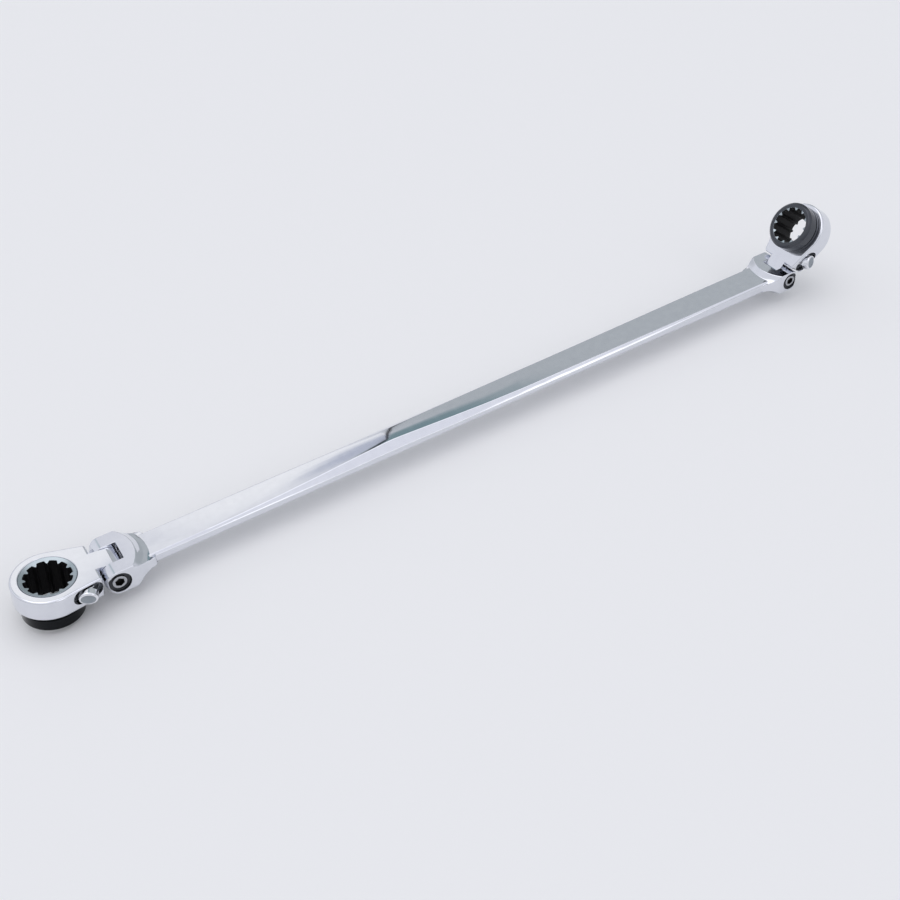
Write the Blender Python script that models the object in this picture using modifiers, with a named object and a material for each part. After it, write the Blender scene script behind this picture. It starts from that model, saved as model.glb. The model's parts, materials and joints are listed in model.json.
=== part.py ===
# Double-ended flex-head ratcheting ring wrench, 19 mm and 17 mm, with tall socket collars.
# Units are metres. +X runs along the handle to the smaller head, +Z is up, and each reversing
# lever is on the -Y side. Each head is built in its own frame at its pivot: +X points from the
# pivot to the ring, +Z to the side that the socket collar stands out of.
import bpy
import bmesh
import math
from mathutils import Matrix

MM = 0.001

# Driving dimensions of the wrench
PIVOT_SPACING = 392.0 * MM        # from one pivot pin to the other
NEAR_TILT = math.radians(7.0)     # 19 mm head, tip raised from the handle's line
FAR_TILT = math.radians(50.0)     # 17 mm head, tip raised from the handle's line
NEAR_SCALE = 1.0
FAR_SCALE = 0.9                   # the 17 mm end against the 19 mm end
PIVOT_LINE = (7.7035 * MM, 1.083 * MM, 13.2202 * MM)    # its middle, over the wrench's own base
GAP = 0.3                         # clearance between neighbouring pieces, mm
FIT = 0.2                         # clearance of the small pins and the plunger, mm
END_PLAY = 0.25                   # clearance at the ends of the pawl and the drum, mm
THROUGH = 20.0                    # reach of a cut that goes right through, mm

# Head, in mm at the 19 mm end
RING_R = 16.75                    # outside of the ring
RING_AT = 28.0                    # ring centre from the pivot
HEAD_HALF = 5.5                   # half of the head's thickness
SHOULDER_AT = 7.2                 # shoulder face from the pivot
SHOULDER_HALF = 12.4              # half width of the neck at the shoulder
SHOULDER_ROUND = 1.2
TONGUE_HALF = 5.6                 # half width of the tongue between the ears
TONGUE_R = 5.4                    # rounded end of the tongue about the pivot
BORE_R = 13.6                     # bore that the gear turns in
LIP_R = 12.9                      # lip that stops the gear
LIP_TOP = -3.9
GROOVE_R = 14.6                   # groove for the retaining ring
GROOVE_LOW = 3.3
GROOVE_HIGH = 4.7
RETAINER_OUTER_R = 14.3
RETAINER_INNER_R = 12.75
RETAINER_GAP = math.radians(18.0)

# Ratchet gear with its socket
TEETH = 72
TOOTH_TIP_R = 13.3
TOOTH_ROOT_R = 12.7
TEETH_LOW = -3.5
TEETH_HIGH = 2.6
HUB_R = 12.55                     # flush face on the side without a collar
HUB_EDGE = 0.5
TEETH_RUN_OUT = 0.15
JOURNAL_R = 13.1
GEAR_GROOVE_R = 12.4
COLLAR_R = 14.4
COLLAR_LOW = HEAD_HALF + GAP
COLLAR_HIGH = 15.1
COLLAR_EDGE_R = 0.9               # end chamfer, across
COLLAR_EDGE_H = 1.2               # end chamfer, along
LOBES = 12
RECESS_R = 11.0
CUSP_R = 9.5
CUSP_ROUND = 0.35
RECESS_SPREAD = math.radians(9.3)
CUSP_FROM = math.radians(12.0)

# Pawl and reversing lever, placed on a line from the gear's centre at PAWL_ANGLE below the neck
PAWL_ANGLE = math.radians(38.0)
PAWL_PIN_AT = 15.5
PAWL_PIN_R = 0.65
PAWL_PIN_LOW = -4.6
PAWL_PIN_HIGH = 2.9
PAWL_FRONT = 12.5
PAWL_BACK = 17.0
PAWL_HORN = 2.3                   # how far the back falls away towards the ends
PAWL_SPREAD = math.radians(18.0)
PAWL_ROCK = math.radians(10.0)    # to each side of the middle
PAWL_CUTS = 9                     # places through the rock at which the gear's teeth are cut clear
TOOTH_ROOM = 0.1                  # clearance between the pawl's and the gear's teeth
CAVITY_ROOM = 0.7                 # clearance behind the pawl
CAVITY_FRONT_ROOM = 0.5
CAVITY_LOW = -3.6
CAVITY_HIGH = 2.4
LEVER_AT = 19.2
DRUM_R = 1.8
TRUNNION_R = 0.8
TRUNNION_LOW = -4.55
TRUNNION_HIGH = 3.75
LEVER_HALF_THROW = math.radians(18.0)
TAB_ANGLE = math.radians(-69.5)   # direction of the lever's tab at rest
TAB_FROM = 2.6
TAB_REACH = 6.4
TAB_HALF = 3.2                    # half width of the thumb button
TAB_HEIGHT = 3.4                  # half height of the thumb button
TAB_MIDDLE = -0.8                 # its middle, above the middle of the head
TAB_EDGE = 0.5
STEM_HALF = 2.0
STEM_FROM = 0.9
STEM_INTO_TAB = 0.5
STEM_ROOM = 0.4
PLUNGER_R = 0.7
PLUNGER_FROM = 0.7
PLUNGER_NECK = 1.5
PLUNGER_ROUND = 1.78
PLUNGER_TIP = 1.92
PLUNGER_BORE_END = -1.2
PAWL_SPRING_R = 0.5
PAWL_SPRING_WIRE = 0.14
PAWL_SPRING_FROM = -0.95
PAWL_SPRING_TO = 0.45
PAWL_SPRING_TURNS = 3
POCKET_FROM = 7.9
POCKET_TO = 22.6
POCKET_DEPTH = 3.2
POCKET_HEIGHT = 3.8
POCKET_MIDDLE = -0.9

# Clevis of the handle, in mm at the 19 mm end; distances run from the pivot to the handle
EAR_R = 6.4                       # round of the ears seen from the side
CLEVIS_HALF_W = 13.3
CLEVIS_HALF_T = 6.4
EAR_CORNER = 4.5
CLEVIS_REACH = 30.0
CLEVIS_FLARE = (                  # plan outline behind the ears: place, half width
    (-8.2, 13.3),
    (-9.4, 13.0),
    (-10.6, 12.45),
    (-12.0, 11.75),
    (-13.6, 11.1),
    (-15.5, 10.5),
    (-18.0, 10.0),
    (-21.0, 9.6),
    (-25.0, 9.2),
)
CREST_R = 19.6                    # arc that ends the thick part
CREST_BACK = 12.4
CREST_SLOPE = 3.9                 # run of the slope behind the crest
CREST_FOOT = 2.9                  # half thickness at its foot
CREST_RUN = 14.0                  # where the tool that shapes the crest ends
CREST_DROP = 0.6                  # drop from the foot to there
CREST_LEAD = 1.2
SLOT_BACK = 5.9
SLOT_FRONT = 12.0
PIN_R = 2.75
PIN_HEAD_R = 3.7
PIN_HEAD_HIGH = 0.9
PIN_HEX_R = 2.1
PIN_HEX_DEPTH = 1.8
PIN_END_EDGE = 0.4
PIN_HEAD_EDGE = 0.5
EAR_RECESS_R = 5.2                # round recess in each ear's outer face
PIN_RECESS = 1.2
BALL_R = 2.0
BALL_BORE_START = 3.0
BALL_BORE_END = 16.0
BALL_FROM = TONGUE_R + 0.3
BALL_TO = TONGUE_R + 4.2
FLEX_SPRING_R = 1.45
FLEX_SPRING_WIRE = 0.3
FLEX_SPRING_FROM = 10.0
FLEX_SPRING_TURNS = 4

# Strap between the clevises: place along the handle, half width, half thickness,
# width of the sloping edge and its depth, all in mm
STRAP = (
    (-183.0, 8.6, 2.6, 1.1, 0.9),
    (-171.0, 8.6, 2.55, 1.1, 0.9),
    (-151.0, 8.55, 2.6, 1.3, 1.05),
    (-131.0, 8.55, 2.8, 1.45, 1.35),
    (-110.0, 8.6, 3.15, 1.95, 1.75),
    (-88.0, 8.6, 3.7, 2.8, 2.35),
    (-66.0, 8.5, 4.3, 3.7, 2.8),
    (-51.0, 8.45, 4.65, 4.2, 3.0),
    (-22.0, 8.65, 3.85, 3.25, 2.55),
    (2.0, 8.7, 3.25, 2.45, 2.15),
    (26.0, 8.7, 2.92, 1.95, 1.85),
    (50.0, 8.75, 2.8, 1.8, 1.85),
    (102.0, 8.75, 2.8, 1.4, 1.55),
    (129.0, 8.7, 2.9, 1.1, 1.25),
    (156.0, 8.6, 3.0, 0.95, 0.95),
    (184.0, 8.6, 3.0, 0.95, 0.95),
)

for leftover in list(bpy.data.objects):
    bpy.data.objects.remove(leftover, do_unlink=True)

partsCollection = bpy.data.collections.new("ratchet_wrench")
cutterCollection = bpy.data.collections.new("cutters")
bpy.context.scene.collection.children.link(partsCollection)
bpy.context.scene.collection.children.link(cutterCollection)


# ---- materials ---------------------------------------------------------------------------

def make_material(name, colour, metallic, roughness):
    material = bpy.data.materials.new(name)
    material.use_nodes = True
    shader = material.node_tree.nodes["Principled BSDF"]
    shader.inputs["Base Color"].default_value = (*colour, 1.0)
    shader.inputs["Metallic"].default_value = metallic
    shader.inputs["Roughness"].default_value = roughness
    return material


CHROME = make_material("satin_chrome", (0.78, 0.79, 0.82), 1.0, 0.22)
SOCKET_STEEL = make_material("socket_steel", (0.30, 0.31, 0.33), 1.0, 0.32)
HARDENED = make_material("hardened_steel", (0.20, 0.20, 0.21), 1.0, 0.40)
SPRING_STEEL = make_material("spring_steel", (0.45, 0.45, 0.47), 1.0, 0.30)


# ---- shape helpers, all in mm ------------------------------------------------------------

def arc(centre, radius, start, end, steps):
    """Points of an arc, both ends included."""
    points = []
    for i in range(steps + 1):
        angle = start + (end - start) * i / steps
        points.append((centre[0] + radius * math.cos(angle), centre[1] + radius * math.sin(angle)))
    return points


def link(name, mesh, cutter=False):
    obj = bpy.data.objects.new(name, mesh)
    (cutterCollection if cutter else partsCollection).objects.link(obj)
    if cutter:
        obj.hide_render = True
        obj.display_type = "WIRE"
    return obj


def plate(name, outline, low, high, cutter=False):
    """A flat outline extruded from low to high."""
    curve = bpy.data.curves.new(name + "_outline", "CURVE")
    curve.dimensions = "2D"
    curve.fill_mode = "BOTH"
    curve.extrude = (high - low) / 2 * MM
    spline = curve.splines.new("POLY")
    spline.points.add(len(outline) - 1)
    for point, (x, y) in zip(spline.points, outline):
        point.co = (x * MM, y * MM, 0.0, 1.0)
    spline.use_cyclic_u = True
    guide = bpy.data.objects.new(name + "_curve", curve)
    cutterCollection.objects.link(guide)
    bpy.context.view_layer.update()
    evaluated = guide.evaluated_get(bpy.context.evaluated_depsgraph_get())
    mesh = bpy.data.meshes.new_from_object(evaluated)
    bpy.data.objects.remove(guide, do_unlink=True)
    finish_mesh(mesh, (low + high) / 2)
    return link(name, mesh, cutter)


def finish_mesh(mesh, lift=0.0):
    """Welds a mesh, points its faces out and lifts it by some mm."""
    bm = bmesh.new()
    bm.from_mesh(mesh)
    bmesh.ops.remove_doubles(bm, verts=bm.verts, dist=0.001 * MM)
    bmesh.ops.recalc_face_normals(bm, faces=bm.faces)
    bmesh.ops.translate(bm, verts=bm.verts, vec=(0.0, 0.0, lift * MM))
    bm.to_mesh(mesh)
    bm.free()


def rod(name, radius, low, high, at=(0.0, 0.0), sides=24, cutter=False):
    """A cylinder along Z."""
    bm = bmesh.new()
    bmesh.ops.create_cone(bm, cap_ends=True, cap_tris=False, segments=sides, radius1=radius * MM,
                          radius2=radius * MM, depth=(high - low) * MM)
    bmesh.ops.translate(bm, verts=bm.verts, vec=(at[0] * MM, at[1] * MM, (low + high) / 2 * MM))
    mesh = bpy.data.meshes.new(name)
    bm.to_mesh(mesh)
    bm.free()
    return link(name, mesh, cutter)


def turned(name, profile, sides, cutter=False):
    """A solid of revolution about Z, from an outline of (radius, z) that starts and ends on Z."""
    bm = bmesh.new()
    previous = None
    for radius, z in profile:
        vert = bm.verts.new((radius * MM, 0.0, z * MM))
        if previous:
            bm.edges.new((previous, vert))
        previous = vert
    bmesh.ops.spin(bm, geom=list(bm.verts) + list(bm.edges), cent=(0, 0, 0), axis=(0, 0, 1),
                   angle=math.tau, steps=sides, use_merge=True, use_duplicate=False)
    mesh = bpy.data.meshes.new(name)
    bm.to_mesh(mesh)
    bm.free()
    finish_mesh(mesh)
    return link(name, mesh, cutter)


def turn(obj, matrix):
    obj.data.transform(matrix)
    return obj


def along_y(obj):
    """Turns a piece made along Z so that it lies along Y."""
    return turn(obj, Matrix.Rotation(math.radians(90.0), 4, "X"))


def along_x(obj):
    """Turns a piece made along Z so that it lies along X."""
    return turn(obj, Matrix.Rotation(math.radians(90.0), 4, "Y"))


def boolean(obj, tool, operation):
    modifier = obj.modifiers.new(operation.lower() + "_" + tool.name, "BOOLEAN")
    modifier.operation = operation
    modifier.solver = "EXACT"
    modifier.object = tool


def apply_modifiers(obj):
    bpy.context.view_layer.update()
    evaluated = obj.evaluated_get(bpy.context.evaluated_depsgraph_get())
    mesh = bpy.data.meshes.new_from_object(evaluated)
    obj.modifiers.clear()
    obj.data = mesh
    finish_mesh(mesh)


def join(obj, tools, operation):
    """Cuts or joins with each tool, then removes the tools."""
    for tool in tools:
        boolean(obj, tool, operation)
    apply_modifiers(obj)
    for tool in tools:
        bpy.data.objects.remove(tool, do_unlink=True)
    return obj


def finish(obj, material, parent, scale):
    """Gives a piece its material, size and place, with smooth shading on its rounds."""
    obj.data.transform(Matrix.Scale(scale, 4))
    obj.data.materials.clear()
    obj.data.materials.append(material)
    obj.data.shade_smooth()
    obj.data.set_sharp_from_angle(angle=math.radians(35.0))
    obj.parent = parent
    return obj


def move_origin(obj, x, y):
    """Moves a piece's origin to (x, y), in mm, where its joint's axis passes."""
    obj.data.transform(Matrix.Translation((-x * MM, -y * MM, 0.0)))


# ---- outlines ----------------------------------------------------------------------------

def neck_tangent():
    """Angle of the neck's side, and where it meets the ring's round."""
    dx = RING_AT - SHOULDER_AT
    distance = math.hypot(dx, SHOULDER_HALF)
    angle = -math.atan2(SHOULDER_HALF, dx) + math.asin(RING_R / distance)
    return angle


def neck_side(u):
    """Half width of the neck at a distance u from the pivot."""
    return SHOULDER_HALF + (u - SHOULDER_AT) * math.tan(neck_tangent())


def head_outline():
    slope = neck_tangent()
    ring = arc((RING_AT, 0.0), RING_R, -math.pi / 2 - slope, math.pi / 2 + slope, 60)
    corner = SHOULDER_ROUND
    upper = arc((SHOULDER_AT + corner, neck_side(SHOULDER_AT + corner) - corner * 1.02), corner,
                math.pi / 2 + slope, math.pi, 4)
    lower = [(x, -y) for x, y in reversed(upper)]
    return ring + upper + lower


def gear_outline(tip, root, teeth):
    points = []
    for i in range(teeth):
        angle = math.tau * i / teeth
        half = math.pi / teeth
        points.append((tip * math.cos(angle), tip * math.sin(angle)))
        points.append((root * math.cos(angle + half), root * math.sin(angle + half)))
    return points


def socket_outline():
    """Twelve wide recesses with narrow rounded cusps between them."""
    points = []
    for i in range(LOBES):
        middle = math.tau * i / LOBES
        points += arc((0.0, 0.0), RECESS_R, middle - RECESS_SPREAD, middle + RECESS_SPREAD, 3)
        cusp = middle + math.pi / LOBES
        for side, radius in ((CUSP_FROM, CUSP_R + CUSP_ROUND), (math.pi / LOBES, CUSP_R)):
            angle = middle + side
            points.append((radius * math.cos(angle), radius * math.sin(angle)))
        angle = cusp + (math.pi / LOBES - CUSP_FROM)
        radius = CUSP_R + CUSP_ROUND
        points.append((radius * math.cos(angle), radius * math.sin(angle)))
    return points


def around_gear(r, angle):
    """A point r from the gear's centre, at an angle below the neck's middle line."""
    return (RING_AT - r * math.cos(angle), -r * math.sin(angle))


def pawl_outline(clearance=0.0):
    inner = PAWL_FRONT - CAVITY_FRONT_ROOM if clearance else PAWL_FRONT
    spread = PAWL_SPREAD + clearance / 14.0
    back = PAWL_BACK + clearance
    points = []
    for i in range(13):
        angle = PAWL_ANGLE - spread + 2 * spread * i / 12
        points.append(around_gear(inner, angle))
    for share in (1.0, 0.55, 0.2, -0.2, -0.55, -1.0):
        angle = PAWL_ANGLE + spread * share
        # the back is flat in the middle and falls away to thin ends
        r = back / math.cos(spread * share) if abs(share) < 0.3 else back - PAWL_HORN * abs(share) ** 1.5
        points.append(around_gear(r, angle))
    return points


# ---- pieces of one head ------------------------------------------------------------------

def make_head_body(prefix):
    body = plate(prefix + "head_body", head_outline(), -HEAD_HALF, HEAD_HALF)
    tongue_side = (arc((0.0, 0.0), TONGUE_R, math.pi / 2, 1.5 * math.pi, 16)
                   + [(SHOULDER_AT + 3.0, -TONGUE_R), (SHOULDER_AT + 3.0, TONGUE_R)])
    tongue = along_y(plate(prefix + "tongue", tongue_side, -TONGUE_HALF, TONGUE_HALF, cutter=True))
    join(body, [tongue], "UNION")
    ring_bore = turned(prefix + "bore", [
        (0.0, -HEAD_HALF - 1.0), (LIP_R, -HEAD_HALF - 1.0), (LIP_R, LIP_TOP), (BORE_R, LIP_TOP),
        (BORE_R, GROOVE_LOW), (GROOVE_R, GROOVE_LOW), (GROOVE_R, GROOVE_HIGH),
        (BORE_R, GROOVE_HIGH), (BORE_R, HEAD_HALF + 1.0), (0.0, HEAD_HALF + 1.0)], 60, cutter=True)
    turn(ring_bore, Matrix.Translation((RING_AT * MM, 0.0, 0.0)))
    pin_hole = along_y(rod(prefix + "pivot_hole", PIN_R + GAP, -THROUGH, THROUGH, cutter=True))
    cavity = plate(prefix + "pawl_cavity", pawl_outline(CAVITY_ROOM), CAVITY_LOW, CAVITY_HIGH,
                   cutter=True)
    pawl_hole = rod(prefix + "pawl_pin_hole", PAWL_PIN_R + FIT, PAWL_PIN_LOW - FIT, PAWL_PIN_HIGH + FIT,
                    around_gear(PAWL_PIN_AT, PAWL_ANGLE), 16, cutter=True)
    lever_x, lever_y = around_gear(LEVER_AT, PAWL_ANGLE)
    drum_hole = rod(prefix + "drum_hole", DRUM_R + GAP, CAVITY_LOW, CAVITY_HIGH,
                    (lever_x, lever_y), 20, cutter=True)
    trunnion_hole = rod(prefix + "trunnion_hole", TRUNNION_R + FIT, TRUNNION_LOW - END_PLAY,
                        TRUNNION_HIGH + END_PLAY, (lever_x, lever_y), 16, cutter=True)
    middle = (POCKET_FROM + POCKET_TO) / 2
    half = (POCKET_TO - POCKET_FROM) / 2
    end_round = POCKET_HEIGHT
    pocket_side = (arc((half - end_round, 0.0), end_round, -math.pi / 2, math.pi / 2, 8)
                   + arc((end_round - half, 0.0), end_round, math.pi / 2, 1.5 * math.pi, 8))
    pocket = along_y(plate(prefix + "lever_pocket", pocket_side, 0.0, 8.0, cutter=True))
    turn(pocket, Matrix.Rotation(-neck_tangent(), 4, "Z"))
    turn(pocket, Matrix.Translation((middle * MM, -(neck_side(middle) - POCKET_DEPTH) * MM,
                                     POCKET_MIDDLE * MM)))
    join(body, [ring_bore, pin_hole, cavity, pawl_hole, drum_hole, trunnion_hole, pocket],
         "DIFFERENCE")
    return body


def make_gear(prefix):
    gear = turned(prefix + "ratchet_gear", [
        (0.0, -HEAD_HALF), (HUB_R - HUB_EDGE, -HEAD_HALF), (HUB_R, -HEAD_HALF + HUB_EDGE),
        (HUB_R, TEETH_HIGH - TEETH_RUN_OUT), (JOURNAL_R, TEETH_HIGH - TEETH_RUN_OUT),
        (JOURNAL_R, GROOVE_LOW),
        (GEAR_GROOVE_R, GROOVE_LOW), (GEAR_GROOVE_R, GROOVE_HIGH), (JOURNAL_R, GROOVE_HIGH),
        (JOURNAL_R, COLLAR_LOW), (COLLAR_R, COLLAR_LOW), (COLLAR_R, COLLAR_HIGH - COLLAR_EDGE_H),
        (COLLAR_R - COLLAR_EDGE_R, COLLAR_HIGH), (0.0, COLLAR_HIGH)], 60)
    toothed = plate(prefix + "teeth", gear_outline(TOOTH_TIP_R, TOOTH_ROOT_R, TEETH),
                    TEETH_LOW, TEETH_HIGH, cutter=True)
    join(gear, [toothed], "UNION")
    socket = plate(prefix + "socket", socket_outline(), -HEAD_HALF - 1.0, COLLAR_HIGH + 1.0,
                   cutter=True)
    join(gear, [socket], "DIFFERENCE")
    return gear


def make_retaining_ring(prefix):
    start = RETAINER_GAP / 2
    outline = (arc((0.0, 0.0), RETAINER_OUTER_R, start, math.tau - start, 44)
               + arc((0.0, 0.0), RETAINER_INNER_R, math.tau - start, start, 44))
    return plate(prefix + "retaining_ring", outline, GROOVE_LOW + GAP, GROOVE_HIGH - GAP)


def make_pawl(prefix):
    """A rocker with teeth on both ends, cut clear of the gear's teeth all through its rock."""
    pawl = plate(prefix + "pawl", pawl_outline(), CAVITY_LOW + END_PLAY, CAVITY_HIGH - END_PLAY)
    pin_x, pin_y = around_gear(PAWL_PIN_AT, PAWL_ANGLE)
    about_pin = Matrix.Translation((pin_x * MM, pin_y * MM, 0.0))
    hole = rod(prefix + "pawl_hole", PAWL_PIN_R + END_PLAY, -THROUGH, THROUGH, (pin_x, pin_y), 16,
               cutter=True)
    cutters = [hole]
    for i in range(PAWL_CUTS):
        rock = PAWL_ROCK * (2 * i / (PAWL_CUTS - 1) - 1)
        star = plate(prefix + "pawl_cut", gear_outline(TOOTH_TIP_R + TOOTH_ROOM,
                     TOOTH_ROOT_R + TOOTH_ROOM, TEETH), -THROUGH, THROUGH, cutter=True)
        turn(star, Matrix.Translation((RING_AT * MM, 0.0, 0.0)))
        turn(star, about_pin @ Matrix.Rotation(rock, 4, "Z") @ about_pin.inverted())
        cutters.append(star)
    join(pawl, cutters, "DIFFERENCE")
    # at rest the end nearer the neck's middle line is in the teeth
    turn(pawl, about_pin @ Matrix.Rotation(-PAWL_ROCK, 4, "Z") @ about_pin.inverted())
    move_origin(pawl, pin_x, pin_y)
    return pawl


def make_lever(prefix):
    """Drum with two trunnions, a stem and a thumb button; made pointing along +X, then turned."""
    lever = rod(prefix + "reversing_lever", DRUM_R, CAVITY_LOW + END_PLAY,
                CAVITY_HIGH - END_PLAY, sides=24)
    trunnion = rod(prefix + "trunnion", TRUNNION_R, TRUNNION_LOW, TRUNNION_HIGH, sides=16,
                   cutter=True)
    flat = TAB_HEIGHT - TAB_HALF
    oval = (arc((0.0, flat), TAB_HALF, 0.0, math.pi, 16)
            + arc((0.0, -flat), TAB_HALF, math.pi, math.tau, 16))
    tab = plate(prefix + "tab", oval, TAB_FROM, TAB_REACH, cutter=True)
    bevel = tab.modifiers.new("soft_edge", "BEVEL")
    bevel.width = TAB_EDGE * MM
    bevel.segments = 2
    bevel.limit_method = "ANGLE"
    apply_modifiers(tab)
    # the button's outline lies across the lever: its width along Y, its height along Z
    turn(tab, Matrix(((0, 0, 1, 0), (1, 0, 0, 0), (0, 1, 0, 0), (0, 0, 0, 1))))
    turn(tab, Matrix.Translation((0.0, 0.0, TAB_MIDDLE * MM)))
    stem = plate(prefix + "stem", [
        (STEM_FROM, -STEM_HALF), (TAB_FROM + STEM_INTO_TAB, -STEM_HALF),
        (TAB_FROM + STEM_INTO_TAB, STEM_HALF), (STEM_FROM, STEM_HALF)],
        CAVITY_LOW + STEM_ROOM, CAVITY_HIGH - STEM_ROOM, cutter=True)
    join(lever, [trunnion, stem, tab], "UNION")
    plunger_turn = plunger_direction() - TAB_ANGLE
    bore = along_x(rod(prefix + "plunger_bore", PLUNGER_R + FIT, PLUNGER_BORE_END, TAB_FROM + GAP + 0.1,
                       sides=16, cutter=True))
    turn(bore, Matrix.Rotation(plunger_turn, 4, "Z"))
    join(lever, [bore], "DIFFERENCE")
    turn(lever, Matrix.Rotation(TAB_ANGLE, 4, "Z"))
    return lever


def plunger_direction():
    """The way the plunger points at rest, half of the lever's throw past the pawl's pin."""
    return PAWL_ANGLE + LEVER_HALF_THROW


def make_plunger(prefix):
    plunger = turned(prefix + "pawl_plunger", [
        (0.0, PLUNGER_FROM), (PLUNGER_R, PLUNGER_FROM), (PLUNGER_R, PLUNGER_NECK),
        (PLUNGER_R * 0.8, PLUNGER_ROUND), (0.0, PLUNGER_TIP)], 16)
    along_x(plunger)
    turn(plunger, Matrix.Rotation(plunger_direction(), 4, "Z"))
    return plunger


def make_coil(name, radius, wire, low, high, turns):
    """A coil spring along X, as a bevelled curve made into a mesh."""
    curve = bpy.data.curves.new(name + "_curve", "CURVE")
    curve.dimensions = "3D"
    curve.bevel_depth = wire * MM
    curve.bevel_resolution = 1
    curve.use_fill_caps = True
    steps = turns * 9
    spline = curve.splines.new("POLY")
    spline.points.add(steps)
    for i, point in enumerate(spline.points):
        angle = math.tau * turns * i / steps
        along = low + wire + (high - low - 2 * wire) * i / steps
        point.co = (along * MM, radius * math.cos(angle) * MM, radius * math.sin(angle) * MM, 1.0)
    guide = bpy.data.objects.new(name + "_curve", curve)
    cutterCollection.objects.link(guide)
    bpy.context.view_layer.update()
    evaluated = guide.evaluated_get(bpy.context.evaluated_depsgraph_get())
    mesh = bpy.data.meshes.new_from_object(evaluated)
    bpy.data.objects.remove(guide, do_unlink=True)
    finish_mesh(mesh)
    return link(name, mesh)


def make_pivot_screw(prefix):
    """Shoulder screw along Y, its button head and hex socket on the lever's side."""
    seat = CLEVIS_HALF_W - PIN_RECESS
    top = seat + PIN_HEAD_HIGH
    screw = turned(prefix + "pivot_screw", [
        (0.0, -seat), (PIN_R - PIN_END_EDGE, -seat), (PIN_R, -seat + PIN_END_EDGE),
        (PIN_R, seat + 0.1), (PIN_HEAD_R, seat + 0.1), (PIN_HEAD_R, top - PIN_END_EDGE),
        (PIN_HEAD_R - PIN_HEAD_EDGE, top), (0.0, top)], 32)
    hexagon = rod(prefix + "hex_socket", PIN_HEX_R, top - PIN_HEX_DEPTH, top + 1.0, sides=6,
                  cutter=True)
    join(screw, [hexagon], "DIFFERENCE")
    return along_y(screw)


def make_flex_ball(prefix):
    ball = turned(prefix + "flex_ball", [
        (0.0, BALL_FROM), (BALL_R * 0.6, BALL_FROM + BALL_R * 0.2),
        (BALL_R * 0.92, BALL_FROM + BALL_R * 0.6), (BALL_R, BALL_FROM + BALL_R),
        (BALL_R, BALL_TO), (0.0, BALL_TO)], 20)
    return turn(along_x(ball), Matrix.Rotation(math.pi, 4, "Z"))


def make_head(prefix, pivot, scale):
    """All pieces of one end, parented to an empty on the pivot pin's axis."""
    ring_centre = bpy.data.objects.new(prefix + "gear_axis", None)
    partsCollection.objects.link(ring_centre)
    ring_centre.parent = pivot
    ring_centre.location = (RING_AT * scale * MM, 0.0, 0.0)
    finish(make_head_body(prefix), CHROME, pivot, scale)
    finish(make_gear(prefix), SOCKET_STEEL, ring_centre, scale)
    finish(make_retaining_ring(prefix), SPRING_STEEL, ring_centre, scale)

    pawl_axis = around_gear(PAWL_PIN_AT, PAWL_ANGLE)
    pawl = finish(make_pawl(prefix), HARDENED, pivot, scale)
    pawl.location = (pawl_axis[0] * scale * MM, pawl_axis[1] * scale * MM, 0.0)
    pin = finish(rod(prefix + "pawl_pin", PAWL_PIN_R, PAWL_PIN_LOW, PAWL_PIN_HIGH, sides=16), HARDENED,
                 pivot, scale)
    pin.location = pawl.location

    lever_axis = around_gear(LEVER_AT, PAWL_ANGLE)
    spring = make_coil(prefix + "pawl_spring", PAWL_SPRING_R, PAWL_SPRING_WIRE, PAWL_SPRING_FROM,
                       PAWL_SPRING_TO, PAWL_SPRING_TURNS)
    turn(spring, Matrix.Rotation(plunger_direction(), 4, "Z"))
    for piece, material in ((make_lever(prefix), CHROME), (make_plunger(prefix), HARDENED),
                            (spring, SPRING_STEEL)):
        finish(piece, material, pivot, scale)
        piece.location = (lever_axis[0] * scale * MM, lever_axis[1] * scale * MM, 0.0)


# ---- handle ------------------------------------------------------------------------------

def make_clevis(prefix):
    """The thick fork end: plan outline, rounded side view and a conical crest, made common."""
    tip = arc((EAR_R - EAR_CORNER, CLEVIS_HALF_W - EAR_CORNER), EAR_CORNER, 0.0, math.pi / 2, 6)
    upper = tip + list(CLEVIS_FLARE)
    lower = [(x, -y) for x, y in reversed(upper)]
    plan = plate(prefix + "clevis", upper + lower, -CLEVIS_HALF_T, CLEVIS_HALF_T)
    side = arc((0.0, 0.0), EAR_R, -math.pi / 2, math.pi / 2, 20) + [(-CLEVIS_REACH, EAR_R),
                                                                       (-CLEVIS_REACH, -EAR_R)]
    side_solid = along_y(plate(prefix + "side", side, -THROUGH, THROUGH, cutter=True))
    crest = turned(prefix + "crest", [
        (0.0, -CLEVIS_HALF_T - 1.0), (CREST_R - CREST_LEAD, -CLEVIS_HALF_T - 1.0),
        (CREST_R, -CLEVIS_HALF_T), (CREST_R + CREST_SLOPE, -CREST_FOOT),
        (CREST_R + CREST_RUN, CREST_DROP - CREST_FOOT), (CREST_R + CREST_RUN, CREST_FOOT - CREST_DROP),
        (CREST_R + CREST_SLOPE, CREST_FOOT), (CREST_R, CLEVIS_HALF_T),
        (CREST_R - CREST_LEAD, CLEVIS_HALF_T + 1.0), (0.0, CLEVIS_HALF_T + 1.0)], 72, cutter=True)
    turn(crest, Matrix.Translation(((CREST_R - CREST_BACK) * MM, 0.0, 0.0)))
    join(plan, [side_solid, crest], "INTERSECT")
    return plan


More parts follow.
